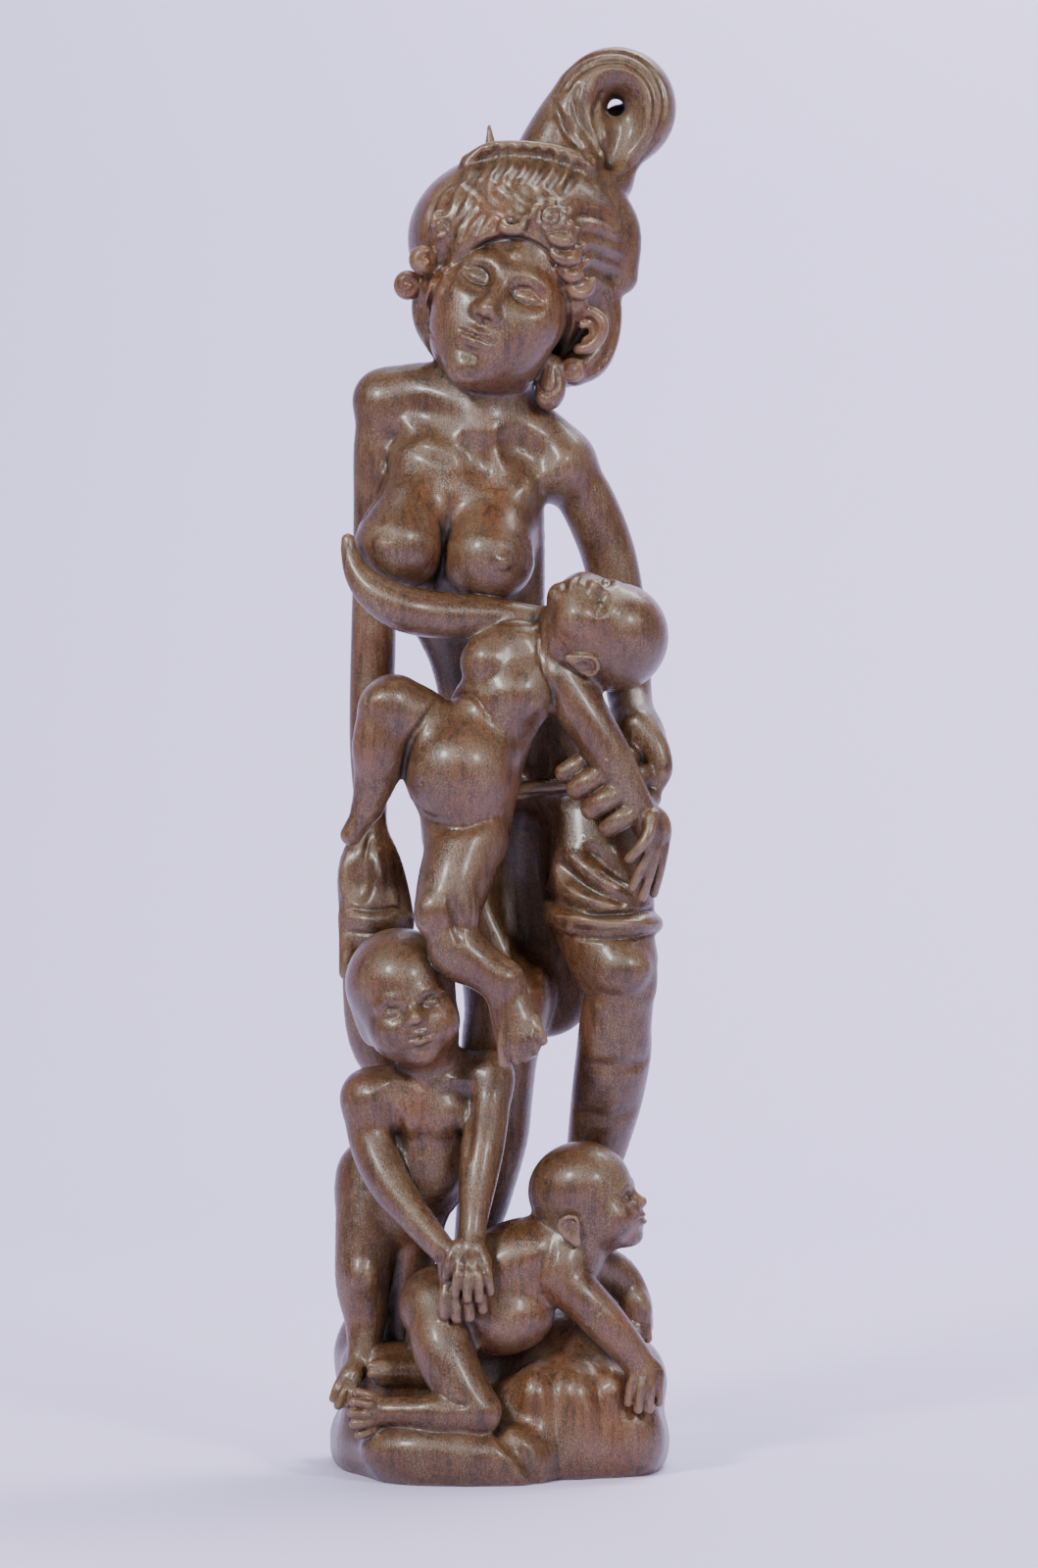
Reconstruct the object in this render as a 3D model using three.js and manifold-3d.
// A tall group carved from one log: a standing mother with a tilted head and a rolled hair scroll,
// a nursling across her front, a boy standing at her right side and a small child crawling on the
// rock that carries them all. One block of wood, so one mesh. Millimetres, +Z up, front towards -Y.
import * as THREE from "three";
import { mergeVertices } from "three/addons/utils/BufferGeometryUtils.js";
import Module from "manifold-3d";

const wasm = await Module();
wasm.setup();

// Driving dimensions
const totalHeight = 800; // underside of the rock to the top of the hair scroll
const viewDistance = 2800; // the front view is taken from this far away
const viewHeight = 382.9; // the height of the eye in that view
const viewAcross = 11.8; // how far the eye stands right of the rock's middle

// The front view is 1059 x 1600 pixels, and its middle is where the eye looks
const viewMiddle = { column: 529.5, row: 800 };
const pixel = totalHeight / 1454.5; // millimetres per pixel, level with the rock's middle

const woodColour = 0x6b4a38;

// Every joint below is [column, row, depth, radius]: where its middle shows in the front view, in
// pixels, how far behind the rock's middle it lies and how thick the wood is there, in millimetres.
// deep squeezes a limb from front to back.
const motherLimbs = {
  chest: { "deep": 0.62, "joints": [[472, 448, 6, 40], [473, 520, 4, 45], [481, 590, 8, 41.5],
    [495, 655, 11, 33.5], [505, 715, 12, 31], [524, 780, 14, 39], [548, 850, 20, 48]] },
  shoulders: { "deep": 0.9, "joints": [[391, 408, 8, 17], [438, 405, 6, 19], [488, 425, 4, 24],
    [543, 451, 6, 21.5], [583, 472, 8, 19.5]] },
  neck: { "joints": [[503, 375, -2, 23], [496, 410, 4, 24], [488, 455, 6, 28]] },
  rightBreast: { "joints": [[426, 490, -8, 17], [415, 520, -20, 22.5], [406, 551, -31, 25.5]] },
  leftBreast: { "joints": [[490, 500, -6, 17], [496, 532, -19, 22.5], [500, 563, -29, 25.5]] },
  rightArm: { "joints": [[392, 412, 8, 14.5], [386, 455, 9, 15.5], [384, 520, 12, 13], [382, 600, 15, 12.5],
    [380, 690, 15, 12.7], [377, 760, 12, 11.2], [378, 815, 7, 9.4], [379, 850, 4, 8.6]] },
  rightHand: { "deep": 0.62, "joints": [[379, 842, 3, 7], [378, 885, 0, 17.8], [382, 918, -2, 20.3],
    [385, 940, -4, 20.8]] },
  rightFingers: { "joints": [[354, 936, -6, 4.6], [354, 992, -10, 4.6]] },
  drape: { "deep": 0.8, "joints": [[384, 950, 5, 17], [383, 1005, 8, 18.5], [395, 1065, 14, 20],
    [438, 1105, 20, 20], [480, 1118, 20, 19]] },
  leftArm: { "joints": [[583, 472, 8, 15], [602, 505, 11, 16.6], [619, 560, 18, 16.4], [629, 610, 20, 16],
    [639, 660, 19, 15], [642, 705, 10, 14.6], [650, 745, -3, 13.6], [656, 770, -10, 14.5], [650, 802, -12, 11]] },
  leftKnuckles: { "joints": [[653, 762, -10, 12], [628, 775, -25, 8], [608, 773, -30, 6.5]] },
  leftHeel: { "joints": [[652, 800, -12, 11], [650, 815, -28, 8.5]] },
  leftThumb: { "joints": [[664, 757, -12, 9], [673, 778, -16, 7], [672, 798, -18, 5]] },
  leftThigh: { "deep": 0.95, "joints": [[606, 848, 14, 35], [609, 895, 4, 32.5], [616, 940, -8, 28.5],
    [623, 972, -14, 25.5]] },
  leftShin: { "joints": [[628, 985, -16, 24], [627, 1035, -12, 20.8], [626, 1070, -7, 21.2],
    [619, 1120, 2, 20.2], [611, 1160, 8, 17.8], [603, 1200, 12, 15], [596, 1250, 15, 12], [592, 1325, 20, 11]] },
  leftFoot: { "joints": [[590, 1334, 28, 11], [598, 1340, 8, 10], [606, 1346, -12, 7.5]] },
  rightThigh: { "deep": 0.95, "joints": [[484, 850, 20, 31], [490, 915, 12, 30], [518, 1005, -1, 26.5]] },
  sarongMiddle: { "deep": 0.6, "joints": [[545, 880, 26, 43], [550, 945, 26, 39], [553, 1003, 22, 31]] },
  rightShin: { "joints": [[520, 1018, 0, 25.8], [510, 1070, 7, 22.3], [506, 1120, 13, 20.6],
    [504, 1160, 16, 19.2], [494, 1220, 20, 15.4], [487, 1255, 22, 12.8], [480, 1325, 26, 11]] },
  rightFoot: { "joints": [[478, 1328, 34, 11], [468, 1332, 14, 10], [458, 1336, -4, 7.5]] },
  waistband: { "joints": [[515, 812, -8, 4], [550, 804, -11, 4.6], [588, 800, -10, 4]] },
  thighFoldOne: { "joints": [[572, 872, -26, 4], [610, 900, -28, 4.4], [655, 905, -18, 3.6]] },
  thighFoldTwo: { "joints": [[568, 895, -25, 3.6], [600, 925, -30, 4.2], [640, 928, -28, 3.6]] },
  recessFold: { "joints": [[532, 835, -10, 5], [542, 900, 3, 5], [540, 985, 6, 4.4]] },
  braceletFold: { "joints": [[352, 938, -12, 3.4], [384, 945, -18, 3.8], [416, 940, -14, 3.4]] },
};
const motherBalls = {
  seat: { "centre": [548, 862, 38], "radii": [52, 32, 40], "lean": 0 },
  hair: { "centre": [529, 245, 10], "radii": [64, 58, 50], "lean": 12 },
  face: { "centre": [515, 316, -16], "radii": [40, 40, 48.5], "lean": 16 },
  nape: { "centre": [550, 330, 24], "radii": [42, 34, 38], "lean": 20 },
};
const hemRing = { "centre": [616, 937, -7], "across": 28, "deep": 27, "thick": 5, "tilt": -7 };

const hairLimbs = {
  scrollRoot: { "deep": 1.3, "joints": [[553, 168, 14, 18], [572, 130, 14, 16.5], [592, 98, 14, 15]] },
  scrollFoot: { "deep": 1.2, "joints": [[596, 128, 10, 11], [610, 158, 8, 14], [622, 186, 8, 13]] },
  leftLock: { "joints": [[440, 275, -8, 10], [428, 308, 2, 10.5], [432, 334, 5, 10], [450, 358, 8, 9]] },
  rightLock: { "joints": [[602, 285, 0, 18], [618, 315, 2, 13.5], [617, 350, 0, 12], [598, 376, -3, 11.4],
    [574, 386, -8, 9]] },
  pendant: { "joints": [[562, 376, -14, 8], [562, 396, -15, 8.4], [558, 408, -15, 6.6]] },
  crest: { "joints": [[474, 176, -14, 9], [505, 158, -18, 10], [560, 152, -18, 10], [600, 176, -14, 9.5]] },
  sideRoll: { "joints": [[612, 195, -4, 11], [628, 235, -2, 13], [627, 285, 0, 12]] },
  fringeLeft: { "joints": [[449, 292, -34, 5.5], [463, 262, -42, 6], [492, 240, -49, 6]] },
  fringeMiddle: { "joints": [[492, 240, -49, 6], [524, 236, -51, 6.4], [560, 250, -46, 6]] },
  fringeRight: { "joints": [[560, 250, -46, 6], [580, 275, -38, 6], [592, 310, -28, 5.6]] },
};
const hairBalls = {
  upperFlower: { "centre": [434, 265, -18], "radii": [9, 8, 8.5], "lean": 0 },
  lowerFlower: { "centre": [415, 292, -8], "radii": [8.6, 8, 9], "lean": 0 },
  leftRosette: { "centre": [456, 232, -33], "radii": [12, 9, 12], "lean": 0 },
  rightRosette: { "centre": [566, 216, -38], "radii": [14, 10, 13], "lean": 0 },
  ear: { "centre": [598, 340, -12], "radii": [9, 8, 12], "lean": 20 },
  backRoll: { "centre": [556, 250, 46], "radii": [46, 28, 44], "lean": 12 },
};
const scroll = { "centre": [628, 110, 14], "ring": 19.6, "thick": 14.6, "deep": 1.35 };
const spike = { "foot": [500, 156, -4], "tip": [499, 128, -4], "radius": 4 };

const nurslingLimbs = {
  trunk: { "joints": [[530, 668, -34, 21], [514, 712, -34, 26.5], [488, 765, -36, 29.5],
    [470, 810, -38, 30], [472, 850, -38, 24.5]] },
  neck: { "joints": [[530, 690, -36, 17], [578, 655, -38, 18]] },
  rightArm: { "joints": [[545, 640, -36, 12.6], [500, 639, -42, 12.6], [455, 632, -48, 12.6], [415, 620, -52, 12.4],
    [386, 603, -51, 11.4], [368, 582, -49, 8], [358, 561, -47, 5]] },
  leftArm: { "joints": [[572, 694, -40, 16], [598, 732, -44, 14], [620, 768, -44, 12.5], [638, 800, -42, 10.8],
    [652, 826, -38, 9.2], [663, 850, -35, 10.2]] },
  rightThigh: { "joints": [[472, 798, -46, 20], [436, 752, -54, 20], [399, 722, -60, 18.8]] },
  rightShin: { "joints": [[397, 726, -60, 16], [389, 760, -58, 14.6], [384, 790, -52, 12.4], [377, 822, -47, 9]] },
  rightFoot: { "joints": [[376, 824, -47, 7.4], [358, 852, -47, 6]] },
  leftThigh: { "joints": [[478, 858, -52, 22], [470, 895, -60, 20.4], [456, 934, -67, 17.6]] },
  leftShin: { "joints": [[458, 938, -67, 14.5], [467, 968, -68, 16.4], [489, 985, -70, 13.4], [513, 1000, -73, 12.4]] },
  leftFoot: { "deep": 0.7, "joints": [[512, 1003, -74, 10], [522, 1030, -75, 12.2], [530, 1060, -77, 12.8]] },
};
const nurslingBalls = {
  skull: { "centre": [630, 640, -40], "radii": [28, 27, 31], "lean": 0 },
  face: { "centre": [595, 632, -43], "radii": [24, 22, 26], "lean": 0 },
  nose: { "centre": [598, 600, -52], "radii": [5, 4.5, 4], "lean": 0 },
  shoulder: { "centre": [494, 670, -46], "radii": [14, 14, 15.5], "lean": 20 },
  ear: { "centre": [597, 680, -58], "radii": [10, 5, 7], "lean": 20 },
};

const boyLimbs = {
  trunk: { "deep": 0.8, "joints": [[442, 1112, -20, 28], [440, 1150, -18, 29], [428, 1195, -12, 28],
    [402, 1228, -8, 26]] },
  rightShoulder: { "joints": [[378, 1120, -30, 17], [430, 1115, -24, 19]] },
  leftShoulder: { "joints": [[450, 1105, -24, 17], [500, 1096, -27, 13.4]] },
  neck: { "joints": [[438, 1060, -38, 17], [440, 1100, -26, 18]] },
  rightArm: { "joints": [[378, 1124, -32, 14.5], [379, 1162, -36, 13], [396, 1205, -46, 11.8], [424, 1243, -57, 9.8],
    [450, 1274, -66, 7.6]] },
  leftArm: { "joints": [[500, 1100, -29, 11], [498, 1135, -37, 11.8], [492, 1175, -46, 11.8], [487, 1208, -54, 10.8],
    [483, 1246, -62, 7.8], [480, 1278, -68, 8.6]] },
  rightLeg: { "joints": [[383, 1200, -4, 22], [374, 1262, -14, 17.6], [370, 1308, -18, 15.2], [373, 1345, -18, 12],
    [371, 1378, -24, 8.8]] },
  rightFoot: { "joints": [[370, 1386, -23, 8], [351, 1414, -44, 6.5]] },
  leftLeg: { "joints": [[424, 1238, -4, 18], [416, 1290, -2, 15], [404, 1385, 2, 10]] },
};
const boyBalls = {
  skull: { "centre": [411, 1012, -42], "radii": [31, 31, 33], "lean": -18 },
  face: { "centre": [426, 1044, -48], "radii": [26, 25, 23.5], "lean": -18 },
  nose: { "centre": [431, 1035, -74], "radii": [5, 4.5, 6], "lean": -18 },
  ear: { "centre": [374, 1058, -42], "radii": [4.5, 6, 9], "lean": -18 },
  seat: { "centre": [383, 1216, -2], "radii": [22, 20, 24], "lean": 0 },
};

const crawlerLimbs = {
  trunk: { "joints": [[570, 1286, -38, 23], [536, 1288, -36, 25.5], [505, 1302, -36, 25],
    [472, 1322, -37, 23], [445, 1328, -38, 21]] },
  neck: { "joints": [[606, 1244, -40, 18], [585, 1283, -40, 21]] },
  leftArm: { "joints": [[570, 1300, -47, 15], [592, 1322, -53, 13], [618, 1350, -54, 11.8], [642, 1378, -50, 9.8],
    [657, 1400, -47, 9.6]] },
  farArm: { "joints": [[598, 1286, -24, 13], [630, 1302, -16, 11.4], [648, 1328, -14, 9], [652, 1352, -16, 8]] },
  leftThigh: { "joints": [[449, 1338, -46, 18], [452, 1375, -58, 17.4], [468, 1412, -66, 15.4], [485, 1440, -69, 14.6]] },
  leftShin: { "joints": [[480, 1442, -69, 11.5], [450, 1445, -71, 11.2], [415, 1441, -71, 9.2], [376, 1441, -69, 9.2]] },
  farThigh: { "joints": [[450, 1334, -28, 16], [442, 1368, -20, 15.5], [448, 1396, -26, 13.4]] },
  farShin: { "joints": [[448, 1399, -28, 10.5], [392, 1400, -35, 8]] },
};
const crawlerBalls = {
  skull: { "centre": [592, 1216, -40], "radii": [27, 25.5, 27.5], "lean": 0 },
  face: { "centre": [632, 1243, -42], "radii": [19, 19, 21], "lean": 0 },
  nose: { "centre": [651, 1228, -42], "radii": [5.5, 4.5, 4], "lean": 0 },
  ear: { "centre": [586, 1257, -58], "radii": [6.5, 5, 9], "lean": -30 },
  belly: { "centre": [514, 1350, -40], "radii": [26, 21, 22], "lean": 0 },
};

// The rock, in plan, in millimetres: each ledge is an outline, the height of its top and its rounding
const ledges = {
  lowest: { "top": 27, "round": 8, "outline": [[-15, -87], [14, -78], [34, -61], [62, -51], [86, -36], [94, 0],
    [91, 36], [74, 64], [34, 79], [-16, 81], [-60, 71], [-90, 44], [-94, 10], [-86, -18], [-74, -50], [-52, -78]] },
  right: { "top": 60, "round": 9, "outline": [[8, -46], [13, -59], [25, -60], [31, -51], [35, -57], [48, -56],
    [53, -46], [58, -51], [69, -47], [74, -37], [79, -37], [88, -22], [91, 0], [86, 30], [60, 50], [10, 40]] },
  rear: { "top": 70, "round": 9, "outline": [[-87, 8], [-84, -22], [-62, -34], [-20, -30], [30, -20], [70, -12],
    [84, 14], [70, 54], [34, 70], [-16, 72], [-58, 63], [-84, 40]] },
};
const rockKnobs = {
  left: { "centre": [377, 1380, 30], "radii": [19, 24, 28], "lean": 0 },
  underBelly: { "centre": [574, 1372, -8], "radii": [34, 28, 34], "lean": 0 },
  behindHand: { "centre": [628, 1400, 4], "radii": [24, 28, 22], "lean": 0 },
};

// Fingers and toes: each row runs from its first joint to its last one, side by side
const digits = {
  motherLeftFingers: { "thick": 5.6, "rows": [[[604, 766, -30], [572, 790, -30]], [[622, 776, -36], [586, 806, -36]],
    [[640, 792, -38], [600, 830, -38]], [[656, 810, -36], [620, 848, -36]]] },
  nurslingLeftFingers: { "thick": 3.2, "rows": [[[654, 850, -38], [641, 876, -40]], [[660, 860, -38], [648, 904, -35]],
    [[668, 860, -34], [659, 914, -31]], [[677, 858, -29], [671, 908, -27]]] },
  nurslingLeftToes: { "thick": 2.9, "rows": [[[514, 1062, -78], [511, 1082, -78]], [[524, 1064, -79], [523, 1085, -79]],
    [[534, 1064, -80], [535, 1083, -80]], [[543, 1062, -80], [546, 1079, -80]], [[551, 1058, -80], [556, 1073, -80]]] },
  boyFingers: { "thick": 3.2, "rows": [[[466, 1282, -72], [462, 1318, -74]], [[476, 1288, -74], [474, 1326, -77]],
    [[485, 1288, -74], [486, 1324, -77]], [[493, 1284, -72], [496, 1316, -74]], [[462, 1310, -68], [462, 1338, -68]],
    [[474, 1318, -70], [476, 1342, -70]], [[487, 1316, -70], [490, 1338, -69]]] },
  crawlerLeftFingers: { "thick": 3, "rows": [[[647, 1402, -49], [639, 1430, -51]], [[655, 1406, -51], [650, 1438, -54]],
    [[663, 1406, -49], [662, 1437, -51]], [[670, 1402, -45], [673, 1430, -47]]] },
  crawlerFarFingers: { "thick": 3, "rows": [[[644, 1348, -20], [646, 1368, -24]], [[652, 1346, -18], [656, 1366, -22]]] },
  crawlerLeftToes: { "thick": 2.5, "rows": [[[376, 1427, -73], [362, 1423, -75]], [[376, 1436, -74], [360, 1434, -77]],
    [[376, 1445, -74], [360, 1444, -77]], [[377, 1454, -72], [363, 1454, -75]]] },
};

// A point of the front view at a depth, pushed out along the line from the eye
function spot(column, row, depth) {
  const spread = pixel * (1 + depth / viewDistance);
  return new THREE.Vector3(
    viewAcross + (column - viewMiddle.column) * spread,
    depth,
    viewHeight + (viewMiddle.row - row) * spread,
  );
}

// A closed three.js geometry as a solid that can be joined and cut
function solid(geometry) {
  geometry.deleteAttribute("normal");
  geometry.deleteAttribute("uv");
  const merged = mergeVertices(geometry, 1e-4);
  return new wasm.Manifold(new wasm.Mesh({
    numProp: 3,
    vertProperties: new Float32Array(merged.attributes.position.array),
    triVerts: new Uint32Array(merged.index.array),
  }));
}

function radiusAt(radii, along) {
  const place = along * (radii.length - 1);
  const before = Math.min(Math.floor(place), radii.length - 2);
  return THREE.MathUtils.lerp(radii[before], radii[before + 1], place - before);
}

// A round-ended limb: a capsule bent along its joints and swelled to their radii, with more flats
// where it is thick
function limb({ joints, deep = 1 }) {
  const path = new THREE.CatmullRomCurve3(joints.map(([column, row, depth]) => spot(column, row, depth)));
  const radii = joints.map((joint) => joint[3]);
  const thickest = Math.max(...radii);
  const sides = 5 + [8, 16, 28].filter((radius) => thickest > radius).length;
  const rings = thickest > 16 ? 2 : 1;
  const capsule = new THREE.CapsuleGeometry(1, 1, rings, sides, joints.length - 1);
  const points = capsule.attributes.position;
  const run = path.getPoint(1).sub(path.getPoint(0)).normalize();
  const outward = Math.abs(run.y) > 0.9 ? new THREE.Vector3(1, 0, 0) : new THREE.Vector3(0, 1, 0);
  for (let i = 0; i < points.count; i++) {
    const along = THREE.MathUtils.clamp(points.getY(i) + 0.5, 0, 1);
    const past = points.getY(i) + 0.5 - along;
    const tangent = path.getTangent(along);
    const across = new THREE.Vector3().crossVectors(tangent, outward).normalize();
    const through = new THREE.Vector3().crossVectors(across, tangent);
    const offset = across.multiplyScalar(points.getX(i))
      .addScaledVector(through, points.getZ(i))
      .addScaledVector(tangent, past)
      .multiplyScalar(radiusAt(radii, along));
    offset.y *= deep;
    const place = path.getPoint(along).add(offset);
    points.setXYZ(i, place.x, place.y, place.z);
  }
  return solid(capsule);
}

// An egg, leaning in the plane of the front view, its top to the right for a positive lean
function ball({ centre, radii, lean }) {
  const large = Math.max(...radii) > 15;
  const egg = new THREE.SphereGeometry(1, large ? 9 : 6, large ? 6 : 4);
  egg.rotateX(Math.PI / 2);
  egg.scale(...radii);
  egg.rotateY(THREE.MathUtils.degToRad(lean));
  egg.translate(...spot(...centre).toArray());
  return solid(egg);
}

function ledge({ top, round, outline }) {
  const curve = new THREE.SplineCurve([...outline, outline[0]].map(([x, y]) => new THREE.Vector2(x, y)));
  const plan = new THREE.Shape(curve.getPoints(outline.length).slice(0, -1));
  const block = new THREE.ExtrudeGeometry(plan, {
    depth: top, bevelEnabled: true, bevelThickness: round, bevelSize: round, bevelOffset: -round, bevelSegments: 1,
  });
  block.translate(0, 0, -round);
  return solid(block);
}

// A rolled edge of cloth round a leg
function ring({ centre, across, deep, thick, tilt }) {
  const roll = new THREE.TorusGeometry(1, thick / across, 6, 14);
  roll.scale(across, deep, across);
  roll.rotateY(THREE.MathUtils.degToRad(tilt));
  roll.translate(...spot(...centre).toArray());
  return solid(roll);
}

function hairScroll({ centre, ring: ringRadius, thick, deep }) {
  const roll = new THREE.TorusGeometry(ringRadius, thick, 8, 16);
  roll.rotateX(Math.PI / 2);
  roll.scale(1, deep, 1);
  roll.translate(...spot(...centre).toArray());
  return solid(roll);
}

function pointedSpike({ foot, tip, radius }) {
  const low = spot(...foot);
  const high = spot(...tip);
  const cone = new THREE.ConeGeometry(radius, high.distanceTo(low), 6);
  cone.rotateX(Math.PI / 2);
  cone.translate(...low.add(high).multiplyScalar(0.5).toArray());
  return solid(cone);
}

function fingersAndToes({ thick, rows }) {
  return rows.map(([first, last]) => limb({ "joints": [[...first, thick], [...last, thick * 0.85]] }));
}

// Everything is one block of wood: joined, cut flat below, and only its outer skin kept
const forms = [
  ...[motherLimbs, hairLimbs, nurslingLimbs, boyLimbs, crawlerLimbs].flatMap(
    (set) => Object.values(set).map(limb)),
  ...[motherBalls, hairBalls, nurslingBalls, boyBalls, crawlerBalls, rockKnobs].flatMap(
    (set) => Object.values(set).map(ball)),
  ...Object.values(digits).flatMap(fingersAndToes),
  ...Object.values(ledges).map(ledge),
  ring(hemRing),
  hairScroll(scroll),
  pointedSpike(spike),
];
const below = new THREE.BoxGeometry(400, 400, 100).translate(0, 0, -50);
const joined = wasm.Manifold.union(forms).subtract(solid(below));
const outer = joined.decompose().reduce((largest, next) => (next.volume() > largest.volume() ? next : largest));
const { vertProperties, triVerts } = outer.simplify(2).getMesh();

const skin = new THREE.BufferGeometry();
skin.setAttribute("position", new THREE.BufferAttribute(vertProperties, 3));
skin.setIndex(new THREE.BufferAttribute(triVerts, 1));
const carving = new THREE.Mesh(skin, new THREE.MeshStandardMaterial({
  color: woodColour, roughness: 0.45, metalness: 0,
}));
carving.name = "carved_group";

const group = new THREE.Group();
group.add(carving);
export default group;
